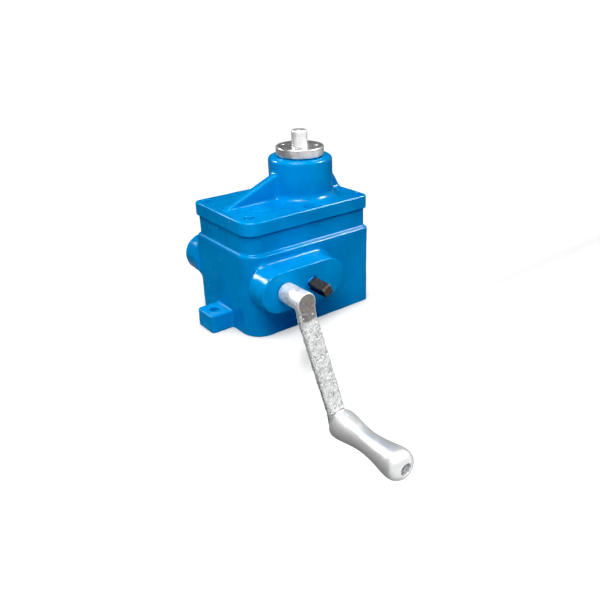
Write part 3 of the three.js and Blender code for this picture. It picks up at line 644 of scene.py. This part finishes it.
def housing_field(x, y, z):
    d = both(plan2(x, y, BODY_X, BODY_Y, (BODY_R_FL, BODY_R, BODY_R, BODY_R)), z - BODY_Z, 3.2)
    neck = both(plan2(x, y, NECK_X, NECK_Y, (20, 6, 6, 6)), z - JOINT_Z, 0.4)
    d = join(d, neck, 2.4)
    # shaft bosses with a little draft, swept into the walls
    for sgn, yo in ((-1, -CAP_Y0), (1, CAP_Y1)):
        draft = np.clip((yo - sgn * y) * F(0.03), -1, 1.2)
        c = capsule2(x, z, CAP_XA - (2.0 if sgn > 0 else 0.0), CAP_XB, SHAFT_Z, CAP_R - 0.3) - draft
        c = both(c, slab(sgn * y, 57.0, yo), 1.3)
        d = join(d, c, 5.5)
    for sgn in (-1, 1):
        lx = sgn * x
        l2 = np.maximum(slab(lx, BODY_X - 8, LUG_X), slab(y, LUG_Y - LUG_W / 2, LUG_Y + LUG_W / 2))
        q1, q2 = np.abs(lx - (BODY_X - 8 + LUG_X) / 2) - (LUG_X - BODY_X + 8) / 2 + 3.4, np.abs(y - LUG_Y) - LUG_W / 2 + 3.4
        l2 = np.minimum(np.maximum(q1, q2), 0) + length2(np.maximum(q1, 0), np.maximum(q2, 0)) - 3.4
        d = join(d, both(l2, z - LUG_Z, 2.0), 3.2)
    d = d + F(0.16) * cast_big(x, y, z) + F(0.07) * cast_small(x, y, z)
    d = both(d, -z, 0.7)
    d = np.maximum(d, z - JOINT_Z)
    # inner boss pads, cavity, seat of the thrust bearing and screw bosses
    hollow = np.maximum(plan2(x, y, BODY_X - WALL, BODY_Y - WALL, (11, 4, 4, 4)), slab(z, FLOOR, 88))
    hollow = np.minimum(hollow, np.maximum(plan2(x, y, NECK_X - WALL, NECK_Y - WALL, (14, 3, 3, 3)), z * 0 + (80 - z)))
    pads = np.maximum(capsule2(x, z, CAP_XA, CAP_XB, SHAFT_Z, 21.0), -(np.abs(y) - 49.4))
    hollow = np.maximum(hollow, -pads)
    rho = length2(x - RAM_X, y - RAM_Y)
    seat = np.maximum(np.maximum(rho - 36, 19.5 - rho), z - 18)
    hollow = np.maximum(hollow, -seat)
    for sx, sy in SCREWS.values():
        wall = math.copysign(NECK_Y - 2, sy)
        p = length2(x - sx, y - sy) - 7
        p = np.minimum(p, np.maximum(np.abs(x - sx) - 6, slab(y, min(sy, wall), max(sy, wall))))
        hollow = np.maximum(hollow, -np.maximum(p, 91 - z))
    d = np.maximum(d, -hollow)
    for sx, sy in SCREWS.values():
        d = np.maximum(d, -np.maximum(length2(x - sx, y - sy) - 2.95, 104 - z))
    for xs in (INPUT_X, WORM_X):
        r = length2(x - xs, z - SHAFT_Z)
        d = cut(d, np.maximum(r - 8.2, y + 70), 0.25)
        d = np.maximum(d, -np.maximum(r - 12.6, slab(y, -82, -76.5)))
        d = np.maximum(d, -np.maximum(r - 11.7, slab(y, -77, -45)))
        d = cut(d, np.maximum(r - 14.7, 45 - y), 0.6)
    for sgn in (-1, 1):
        d = cut(d, length2(sgn * x - LUG_HOLE_X, y - LUG_Y) - LUG_HOLE_R, 0.8)
    return d


H = 1.35
ob = field_mesh("housing_casting", housing_field, (-117, -88, -3), (117, 87, 123), H)
dress(ob, PAINT, "housing", "blue_paint", "housing")

# ------------------------------------------------------------------ cover
RIB_L = [(-76.5, 128), (-76.5, 136.8), (-73.6, 139.2), (RAM_X - 30, 169.3), (RAM_X, 169.3), (RAM_X, 128)]
RIB_R = [(RAM_X, 128), (83.6, 128), (83.6, 137.5), (81.8, 141.5), (RAM_X + 35, 172), (RAM_X, 172)]


def cover_field(x, y, z):
    rho = length2(x - RAM_X, y - RAM_Y)
    boss = both(rho - BOSS_R, z - BOSS_Z, 4.5)
    d = join(z - COVER_Z1, boss, 8.5)
    for pts in (RIB_L, RIB_R):
        p = poly2(x, z, pts)
        # the rib's ridge is well rounded
        rib = both(p + 0 * y, np.abs(y) - RIB_W / 2, 3.4)
        d = join(d, rib, 4.0)
    d = d + F(0.14) * cast_big(x, y, z) + F(0.06) * cast_small(x, y, z)
    d = both(d, plan2(x, y, COVER_X, COVER_Y, (COVER_R_FL, COVER_R, COVER_R, COVER_R)), 2.2)
    d = both(d, COVER_Z0 - z, 0.8)
    sleeve = np.maximum(rho - 32, slab(z, 90, 126))
    d = np.minimum(d, sleeve)
    bore = np.maximum(rho - 27.2, z - 103.4)
    bore = np.minimum(bore, np.maximum(rho - 19.5, slab(z, 100, 150)))
    d = np.maximum(d, -bore)
    d = cut(d, np.maximum(rho - 22.2, 142 - z), 0.7)
    d = np.maximum(d, -np.maximum(np.maximum(np.abs(x - RAM_X) - 3.1, slab(y, 15, 25)), 148.5 - z))
    for sx, sy in SCREWS.values():
        r = length2(x - sx, y - sy)
        d = np.maximum(d, -(r - 3.4))
        d = cut(d, np.maximum(r - 5.7, 129.4 - z), 0.55)
    r = length2(x - CAP_PAD[0], y - CAP_PAD[1])
    d = np.maximum(d, -(r - 10.2))
    return d


H = 1.05
ob = field_mesh("cover_casting", cover_field, (-88, -60, 87), (88, 60, 184), H)
dress(ob, PAINT, "housing", "blue_paint", "cover")


def socket_screw(name, x, y, top=135.1, r=5.1, hexr=2.9, bottom=107.0):
    """Socket head screw: knurl-free painted head, hexagon socket, plain shank."""
    n = 48
    bm = bmesh.new()

    def ring(rad, z, hexa=False):
        out = []
        for i in range(n):
            t = 2 * math.pi * i / n
            rr = rad
            if hexa:
                a = (t % (math.pi / 3)) - math.pi / 6
                rr = rad * math.cos(math.pi / 6) / math.cos(a)
            out.append(bm.verts.new(((x + rr * math.cos(t)) * 0.001, (y + rr * math.sin(t)) * 0.001, z * 0.001)))
        return out
    rings = [ring(2.0, bottom), ring(2.7, bottom + 0.7), ring(2.7, 129.5), ring(4.7, 129.6), ring(r, 130.0), ring(r, top - 0.8), ring(r - 0.12, top - 0.35),
             ring(r - 0.5, top - 0.05), ring(r - 0.9, top), ring(hexr + 0.35, top, False), ring(hexr, top - 0.25, True), ring(hexr, top - 2.6, True), ring(hexr * 0.5, top - 3.0, True)]
    for A, B in zip(rings[:-1], rings[1:]):
        for i in range(n):
            j = (i + 1) % n
            bm.faces.new((A[i], A[j], B[j], B[i]))
    c = bm.verts.new((x * 0.001, y * 0.001, (top - 3.2) * 0.001))
    b0 = bm.verts.new((x * 0.001, y * 0.001, bottom * 0.001))
    for i in range(n):
        bm.faces.new((rings[-1][i], rings[-1][(i + 1) % n], c))
        bm.faces.new((rings[0][(i + 1) % n], rings[0][i], b0))
    bmesh.ops.recalc_face_normals(bm, faces=bm.faces)
    me = bpy.data.meshes.new(name); bm.to_mesh(me); bm.free()
    return smooth_by_angle(link(name, me), 32)


for n, (x, y) in SCREWS.items():
    dress(socket_screw("socket_screw_" + n, x, y), PAINT2, "housing", "screw_paint", "cover_screw_" + n)

prof = round_profile([(0, 118), (9.6, 118), (9.9, 119), (9.9, 136.12), (13.0, 136.12), (12.4, 136.75), (9.0, 136.95), (0, 137.0)], 0.8)
dress(lathe("filler_cap_pressed", prof, CAP_PAD, "Z", 72), PAINT2, "housing", "cap_paint", "filler_cap")
for n, x in (("input", INPUT_X), ("worm", WORM_X)):
    prof = round_profile([(0, 76.2), (14.5, 76.2), (14.5, 82.9), (12.2, 83.0), (11.2, 81.9), (4, 81.6), (2.6, 80.6), (0, 80.3)], 0.7)
    dress(lathe("rear_plug_" + n, prof, (x, SHAFT_Z), "Y", 72), PAINT2, "housing", "cap_paint", n + "_rear_cap")

# ------------------------------------------------------------------ disc, lifting screw
prof = round_profile([(PIN_R + 0.1, DISC_Z0), (DISC_R - 0.9, DISC_Z0), (DISC_R, DISC_Z0 + 0.8), (DISC_R, DISC_Z1 - 0.9), (DISC_R - 0.9, DISC_Z1), (PIN_R + 0.9, DISC_Z1), (PIN_R + 0.1, DISC_Z1 - 0.7), (PIN_R + 0.1, DISC_Z0)], 0.35, 3)
ob = lathe("disc_turned", prof[:-1], (RAM_X, RAM_Y), "Z", 128, closed=True)
tools = []
for i in range(4):
    a = math.pi / 4 + i * math.pi / 2
    tools.append(lathe("tool", [(0, DISC_Z1 - 6.2), (2.6, DISC_Z1 - 5), (2.6, DISC_Z1 - 0.5), (3.6, DISC_Z1 + 0.5), (3.6, DISC_Z1 + 1), (0, DISC_Z1 + 1)],
                       (RAM_X + 19.5 * math.cos(a), RAM_Y + 19.5 * math.sin(a)), "Z", 32))
boolean(ob, tools)
dress(ob, DISC, "ram", "bright_steel", "ram_flange")

prof = round_profile([(0, 103.8), (14, 103.8), (SHANK_R, 106.4), (SHANK_R, 181.5), (SHANK_R - 0.7, 182.2), (PIN_R + 0.0, 182.2), (PIN_R, 209.2), (PIN_R - 1.3, PIN_Z), (1.6, PIN_Z), (0, PIN_Z - 1.1)], 0.45, 3)
ob = lathe("lifting_screw_shank", prof, (RAM_X, RAM_Y), "Z", 96)
boolean(ob, [box_tool((RAM_X - 3, RAM_Y + 14.2, 100), (RAM_X + 3, RAM_Y + 30, 179))])
dress(ob, PIN, "ram", "screw_steel", "lifting_screw")


def thread_mesh(name, r0, r1, w0, w1, lead, z0, turns, per, za, zb, cx, cy):
    """Right-handed trapezoid thread on a core, drawn as one surface: radius as a function of angle and height."""
    nz = int((zb - za) / 0.55)
    bm = bmesh.new()
    rows = []
    for j in range(nz + 1):
        z = za + (zb - za) * j / nz
        row = []
        for i in range(per):
            t = i / per
            ph = ((z - z0) / lead - t) % 1.0
            ph = min(ph, 1 - ph) * lead
            r = r1 if ph < w1 else (r0 if ph > w0 else r1 + (r0 - r1) * (ph - w1) / (w0 - w1))
            e = min(z - za, zb - z) / 3.0
            if e < 1:
                r = r0 - 1.0 + (r - r0 + 1.0) * max(e, 0)
            row.append(bm.verts.new(((cx + r * math.cos(2 * math.pi * t)) * 0.001, (cy + r * math.sin(2 * math.pi * t)) * 0.001, z * 0.001)))
        rows.append(row)
    for A, B in zip(rows[:-1], rows[1:]):
        for i in range(per):
            k = (i + 1) % per
            bm.faces.new((A[i], A[k], B[k], B[i]))
    bm.faces.new(rows[0][::-1]); bm.faces.new(rows[-1])
    me = bpy.data.meshes.new(name); bm.to_mesh(me); bm.free()
    return smooth_by_angle(link(name, me), 40)


ob = thread_mesh("lifting_screw_thread", SCREW_ROOT, SCREW_R, 2.7, 1.8, SCREW_PITCH, 16, 9, 48, 15.5, 103.9, RAM_X, RAM_Y)
dress(ob, GEARS, "ram", "screw_steel")
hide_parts("lifting_screw")

# ------------------------------------------------------------------ worm shaft with its bare drive square
SQ = math.radians(-SQUARE_TURN)


def shaft_field(x, y, z):
    r = length2(x, z)
    c, s = math.cos(SQ), math.sin(SQ)
    u, v = np.abs(x * c - z * s), np.abs(x * s + z * c)
    h, ch = SQUARE / 2, 1.35
    sq = both(u - h, v - h, 0.2)
    sq = both(sq, (u + v - 2 * h + ch) * F(0.7071), 0.15)
    lo = SQUARE_END
    # square with a bevelled end and a run-out into the round journal
    end = both(sq, lo - y, 0.25)
    cham = (np.maximum(u, v) + (lo - y) - h + 1.4) * F(0.7071)
    end = both(end, cham, 0.25)
    end = np.maximum(end, y + 80)
    jr = both(r - 8.0, -84.9 - y, 0.5)
    jr = both(jr, (r - 8.0 + (-84.9 - y) + 1.2) * F(0.7071), 0.2)
    jr = both(jr, y - 75, 0.6)
    return join(end, jr, 0.6)


def shaft(name, x):
    M = Matrix.Translation((x * 0.001, 0, SHAFT_Z * 0.001))
    return field_mesh(name, shaft_field, (-9.5, -114, -9.5), (9.5, 77, 9.5), 0.5, M)


dress(shaft("worm_shaft_square", WORM_X), BLACK, "worm", "shaft_steel", "worm_shaft")

# ------------------------------------------------------------------ crank
rough1, rough2, rough3 = waves(21, 9, 14), waves(22, 3.6, 16), waves(23, 30, 8)


def crank_field(x, y, z):
    """Arm straight down from the shaft axis; turned to its rest angle when placed."""
    w = ARM_W / 2
    # front outline: round over the hub, straight sides, round eye
    out = capsule2(z, x, -CRANK_R, 0, 0.0, w - 0.1)
    side = poly2(z, y, [(14, ARM_Y), (-21.5, ARM_Y), (-CRANK_R + 17, EYE_Y), (-CRANK_R - 14, EYE_Y),
                        (-CRANK_R - 14, EYE_Y + ARM_T), (-CRANK_R + 16, EYE_Y + ARM_T), (-21.5, ARM_Y + ARM_T + 0.4), (14, ARM_Y + ARM_T)])
    arm = np.maximum(both(out, side, 0.4), (out + side + 1.9) * F(0.7071))
    # rough-cast skin, calm on the hub face and the eye
    calm = np.clip((z + 23) / -5, 0, 1) * np.clip((z + CRANK_R - 12) / 6, 0.25, 1)
    arm = arm + (F(0.26) * rough1(x, y, z) + F(0.13) * rough2(x, y, z)) * calm + F(0.04) * rough2(x, y, z)
    rho = length2(x, z)
    hub = both(rho - HUB_R, slab(y, ARM_Y - 0.3, HUB_Y0), 0.9) + F(0.05) * rough3(x, y, z)
    d = join(arm, hub, 2.2)
    d = np.maximum(d, ARM_Y - 0.4 - y + np.where(z > -23, 0, -40) + 0 * x)
    # square socket and clearance for the shaft shoulder
    c, s = math.cos(SQ + TILT), math.sin(SQ + TILT)
    u, v = np.abs(x * c - z * s), np.abs(x * s + z * c)
    q = (SQUARE + 0.5) / 2
    d = cut(d, np.maximum(np.maximum(u, v) - q, -113.0 - y), 0.3)
    d = cut(d, np.maximum(rho - 8.8, HUB_Y0 - 0.7 - y), 0.2)
    d = cut(d, np.maximum(length2(x, z + CRANK_R) - 5.2, slab(y, -170, -120)), 0.3)
    return d


M = Matrix.Translation((INPUT_X * 0.001, 0, SHAFT_Z * 0.001)) @ Matrix.Rotation(-TILT, 4, "Y")
ob = field_mesh("crank_casting", crank_field, (-14, -150, -163), (14, -83, 14), 0.62, M)
dress(ob, CRANK, "crank", "crank_cast", "crank")

# ------------------------------------------------------------------ grip, spindle, end screw
def spline(pts, n=8):
    """Smooth profile through points."""
    P = [Vector(p) for p in pts]
    P = [P[0]] + P + [P[-1]]
    out = []
    for i in range(1, len(P) - 2):
        for k in range(n):
            t = k / n
            a, b, c, d = P[i - 1], P[i], P[i + 1], P[i + 2]
            out.append(0.5 * ((2 * b) + (c - a) * t + (2 * a - 5 * b + 4 * c - d) * t * t + (-a + 3 * b - 3 * c + d) * t ** 3))
    out.append(P[-2])
    return [(p[0], p[1]) for p in out]


curve = spline([(15.2, -0.2), (16.9, -1.4), (17.6, -5), (17.35, -11), (16, -20), (14.35, -30), (13.25, -40), (13, -48), (13.35, -57), (14.5, -68), (16.2, -78), (17.55, -86), (18, -92), (17.3, -97.5), (15.1, -101.8), (11.7, -104.7), (8.8, -105.9)], 5)
prof = [(5.3, -0.2)] + curve + [(7.8, -106), (7.1, -105.5), (6.9, -104.6), (6.9, -95), (5.3, -95)]
ob = lathe("grip_turned", [(r, GRIP_Y + y) for r, y in prof], (GRIP_X, GRIP_Z), "Y", 96, closed=True, deg=40)
dress(ob, GRIP, "grip", "grip_metal", "grip")
base = EYE_Y + ARM_T
prof = [(0, GRIP_Y - 92), (4.2, GRIP_Y - 92), (5, GRIP_Y - 91.2), (5, base + 0.2), (7.4, base + 0.2), (7.3, base + 0.8), (6.2, base + 1.15), (0, base + 1.2)]
ob = lathe("grip_spindle_turned", prof, (GRIP_X, GRIP_Z), "Y", 64)
dress(ob, PIN, "crank", "screw_steel", "grip_spindle")
G = GRIP_Y
prof = round_profile([(0, G - 98.6), (4.0, G - 98.5), (5.7, G - 97.6), (5.8, G - 95.4), (4.9, G - 95.4), (4.9, G - 92.15), (0, G - 92.15)], 0.5)
ob = lathe("grip_end_screw_turned", prof, (GRIP_X, GRIP_Z), "Y", 64)
boolean(ob, [box_tool((GRIP_X - 7, G - 100, GRIP_Z - 0.7), (GRIP_X + 7, G - 97.2, GRIP_Z + 0.7))])
dress(ob, END, "crank", "bright_steel", "grip_end_screw")

# ------------------------------------------------------------------ carried-over nodes
dress_cad(GASKET, "cover_gasket")
dress_cad(SEAL, "input_oil_seal", "worm_oil_seal")
dress_cad(BRONZE, "ram_bush", "worm_wheel", "upper_bush", "upper_thrust_washer", "input_front_bush", "input_rear_bush", "worm_front_bush", "worm_rear_bush")
dress_cad(GEARS, "guide_key", "thrust_race_lower", "thrust_ball_cage", "thrust_race_upper", "reduction_gear", "worm", "worm_front_spacer", "worm_rear_spacer", "input_spacer")
dress_cad(BLACK, "input_pinion_shaft")

# ------------------------------------------------------------------ stage, light, camera
def stage_surface():
    """Pale shelf under the box; its rounded front edge lies behind the crank's swing and drops to a lower floor."""
    prof = [(3.0, 0.0), (-0.085, 0.0)]
    r = 0.02
    for i in range(1, 9):
        a = math.pi / 2 * i / 8
        prof.append((-0.085 - r * math.sin(a), -r + r * math.cos(a)))
    prof += [(-0.105, -0.38)]
    R = 0.1
    for i in range(1, 9):
        a = math.pi / 2 * i / 8
        prof.append((-0.105 - R + R * math.cos(a), -0.38 - R * math.sin(a)))
    prof += [(-3.5, -0.48)]
    bm = bmesh.new()
    xs = (-4, 4)
    rows = [[bm.verts.new((x, y, z - 0.0002)) for x in xs] for y, z in prof]
    for A, B in zip(rows[:-1], rows[1:]):
        bm.faces.new((A[0], B[0], B[1], A[1]))
    bmesh.ops.recalc_face_normals(bm, faces=bm.faces)
    me = bpy.data.meshes.new("stage_shelf"); bm.to_mesh(me); bm.free()
    ob = link("stage_shelf", me)
    for p in me.polygons:
        p.use_smooth = True
    # bright to the eye and in reflections, but a modest bounce, as over a far-off white sweep
    # bright to the eye, darker behind the box and brighter in front of it for reflections, and a modest bounce
    m, nt, b = new_mat("stage_white", 0.9, 0.0, (0.4, 0.4, 0.4))
    b.inputs["Specular IOR Level"].default_value = 0.0
    b.inputs["Emission Color"].default_value = (1, 1, 1, 1)
    lp = nt.nodes.new("ShaderNodeLightPath")
    geo = nt.nodes.new("ShaderNodeNewGeometry")
    sp = nt.nodes.new("ShaderNodeSeparateXYZ")
    nt.links.new(geo.outputs["Position"], sp.inputs[0])
    k = nt.nodes.new("ShaderNodeMapRange")
    for n_, v_ in zip(("From Min", "From Max", "To Min", "To Max"), (-0.1, -0.7, 0.0, 0.85)):
        k.inputs[n_].default_value = v_
    nt.links.new(sp.outputs["Y"], k.inputs["Value"])
    g = nt.nodes.new("ShaderNodeMath"); g.operation = "MULTIPLY"
    nt.links.new(k.outputs["Result"], g.inputs[0]); nt.links.new(lp.outputs["Is Glossy Ray"], g.inputs[1])
    c = nt.nodes.new("ShaderNodeMath"); c.operation = "MULTIPLY_ADD"
    low = nt.nodes.new("ShaderNodeMapRange")
    for n_, v_ in zip(("From Min", "From Max", "To Min", "To Max"), (-0.005, -0.12, 0.72, 1.1)):
        low.inputs[n_].default_value = v_
    nt.links.new(sp.outputs["Z"], low.inputs["Value"])
    # painted contact shadow: the floor's brightness seen by the camera is dimmed by ambient occlusion near the box
    ao = nt.nodes.new("ShaderNodeAmbientOcclusion")
    ao.inputs["Distance"].default_value = 0.026
    painted_contact_shadow = nt.nodes.new("ShaderNodeMapRange")
    for n_, v_ in zip(("From Min", "From Max", "To Min", "To Max"), (0.35, 0.92, 0.35, 1.0)):
        painted_contact_shadow.inputs[n_].default_value = v_
    nt.links.new(ao.outputs["AO"], painted_contact_shadow.inputs["Value"])
    shade = nt.nodes.new("ShaderNodeMath"); shade.operation = "MULTIPLY"
    nt.links.new(low.outputs["Result"], shade.inputs[0]); nt.links.new(painted_contact_shadow.outputs["Result"], shade.inputs[1])
    nt.links.new(lp.outputs["Is Camera Ray"], c.inputs[0]); nt.links.new(shade.outputs[0], c.inputs[1])
    nt.links.new(g.outputs[0], c.inputs[2])
    nt.links.new(c.outputs[0], b.inputs["Emission Strength"])
    me.materials.append(m)


stage_surface()


def area(name, loc, target, size, power, size_y=None, color=(1, 1, 1)):
    l = bpy.data.lights.new(name, "AREA")
    l.shape = "RECTANGLE"
    l.size, l.size_y = size, size_y or size
    l.energy = power
    l.color = color
    o = bpy.data.objects.new(name, l)
    bpy.context.scene.collection.objects.link(o)
    o.location = loc
    d = Vector(target) - Vector(loc)
    o.rotation_euler = d.to_track_quat("-Z", "Y").to_euler()
    return o


def sun(name, direction, strength, angle):
    l = bpy.data.lights.new(name, "SUN")
    l.energy, l.angle = strength, math.radians(angle)
    o = bpy.data.objects.new(name, l)
    bpy.context.scene.collection.objects.link(o)
    o.rotation_euler = Vector(direction).to_track_quat("-Z", "Y").to_euler()
    return o


sun("key", (0.17, 0.05, -0.98), 1.6, 46)
k_ = area("near_key", (-0.29, -0.41, 0.57), (0.0, 0.0, 0.12), 0.44, 3.15, 0.44)
k_.visible_glossy = False
for i, (d, power, size) in enumerate((((0.577, -0.412, 0.668), 30.0, 0.3), ((-0.414, 0.691, 0.555), 12.0, 0.2), ((-0.365, -0.251, 0.897), 16.0, 0.26))):
    o = area("glint_%d" % i, tuple(1.45 * c for c in d), (0, 0, 0.1), size, power, size * 0.8)
    o.visible_diffuse = False

w = bpy.data.worlds.new("studio")
bpy.context.scene.world = w
w.use_nodes = True
wn = w.node_tree
bg = wn.nodes["Background"]
bg.inputs["Color"].default_value = (1, 1, 1, 1)
lp = wn.nodes.new("ShaderNodeLightPath")
k1 = wn.nodes.new("ShaderNodeMapRange")
k1.inputs["To Min"].default_value, k1.inputs["To Max"].default_value = 0.88, 1.15
wn.links.new(lp.outputs["Is Camera Ray"], k1.inputs["Value"])
k2 = wn.nodes.new("ShaderNodeMath"); k2.operation = "MULTIPLY_ADD"
wn.links.new(lp.outputs["Is Diffuse Ray"], k2.inputs[0])
k2.inputs[1].default_value = -0.69
wn.links.new(k1.outputs["Result"], k2.inputs[2])
# reflections find a dark wall behind the box and a bright one in front and overhead
tc = wn.nodes.new("ShaderNodeTexCoord")
sp = wn.nodes.new("ShaderNodeSeparateXYZ")
wn.links.new(tc.outputs["Generated"], sp.inputs[0])
wall = wn.nodes.new("ShaderNodeMapRange")
for n_, v_ in zip(("From Min", "From Max", "To Min", "To Max"), (0.1, 0.45, 0.0, -0.76)):
    wall.inputs[n_].default_value = v_
wn.links.new(sp.outputs["Y"], wall.inputs["Value"])
k3 = wn.nodes.new("ShaderNodeMath"); k3.operation = "MULTIPLY_ADD"
wn.links.new(lp.outputs["Is Glossy Ray"], k3.inputs[0])
wn.links.new(wall.outputs["Result"], k3.inputs[1])
wn.links.new(k2.outputs[0], k3.inputs[2])
wn.links.new(k3.outputs[0], bg.inputs["Strength"])

cam_data = bpy.data.cameras.new("camera")
cam = bpy.data.objects.new("camera", cam_data)
bpy.context.scene.collection.objects.link(cam)
bpy.context.scene.camera = cam
right, down, fwd = Vector((0.76613, -0.64267, -0.00475)), Vector((-0.28297, -0.33067, -0.90033)), Vector((0.57704, 0.69111, -0.43519))
M = Matrix.Identity(4)
for i in range(3):
    M[i][0], M[i][1], M[i][2] = right[i], -down[i], -fwd[i]
M.translation = Vector((-0.4122, -0.6090, 0.3560))
cam.matrix_world = M
cam_data.sensor_width = 36.0
cam_data.lens = 36.0 * 644.85 / 600
cam_data.shift_x = -(345.43 - 300) / 600
cam_data.shift_y = (300.12 - 300) / 600
cam_data.clip_start, cam_data.clip_end = 0.05, 20

vs = bpy.context.scene.view_settings
vs.view_transform = "Standard"
vs.look = "None"
vs.exposure = 0.0
vs.gamma = 1.0
vs.use_curve_mapping = True
vs.curve_mapping.black_level = (0.034, 0.034, 0.034)
vs.curve_mapping.white_level = (0.97, 0.97, 0.97)
vs.curve_mapping.update()

bpy.context.view_layer.update()
